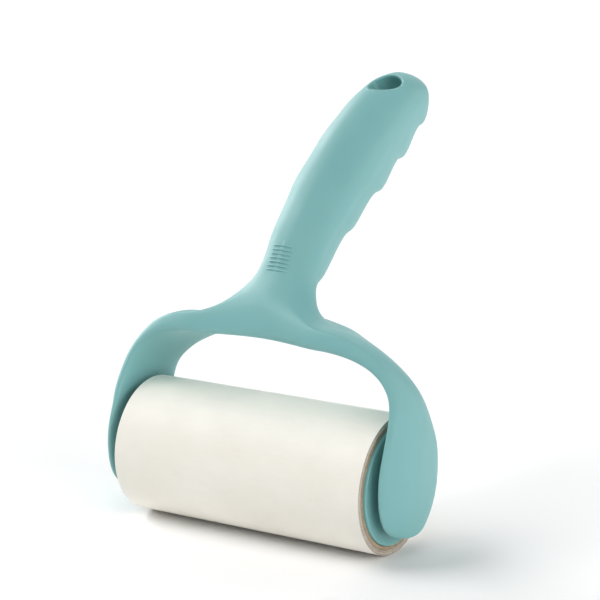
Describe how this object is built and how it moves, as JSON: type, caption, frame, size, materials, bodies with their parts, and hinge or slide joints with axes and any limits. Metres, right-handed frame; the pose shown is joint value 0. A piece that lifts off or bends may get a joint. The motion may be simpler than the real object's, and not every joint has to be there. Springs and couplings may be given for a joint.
{
  "type": "lint roller",
  "caption": "Forked hand roller with a wide sticky paper roll turning on two hub wheels, a leaning grip with finger grooves and a hanging hole.",
  "frame": {"origin": "middle of the hanging hole at the grip's tip", "axes": "+X along the roll's axis, -Y the thumb side, +Z from the roll up to the grip"},
  "size_m": [0.121, 0.1301, 0.1493],
  "materials": {
    "handle_plastic": "moulded polypropylene with a soft satin gloss",
    "hub_plastic": "the handle's plastic, smooth",
    "steel": "plain zinc-plated steel",
    "cardboard": "spiral-wound grey-brown cardboard, matte",
    "paper": "coated sticky paper, cream white, faint sheen"
  },
  "bodies": {
    "handle": {"handle_frame": "handle_plastic", "grip_cover": "handle_plastic", "left_hub_washer": "steel", "right_hub_washer": "steel", "left_hub_screw": "steel", "right_hub_screw": "steel"},
    "roll": {"left_hub_wheel": "hub_plastic", "right_hub_wheel": "hub_plastic", "core_tube": "cardboard", "paper_roll": "paper", "top_sheet": "paper"}
  },
  "joints": [
    {"name": "roll_spin", "type": "hinge", "parent": "handle", "child": "roll", "pos_m": [0, -0.09, -0.113], "axis": [1, 0, 0], "continuous": true}
  ]
}
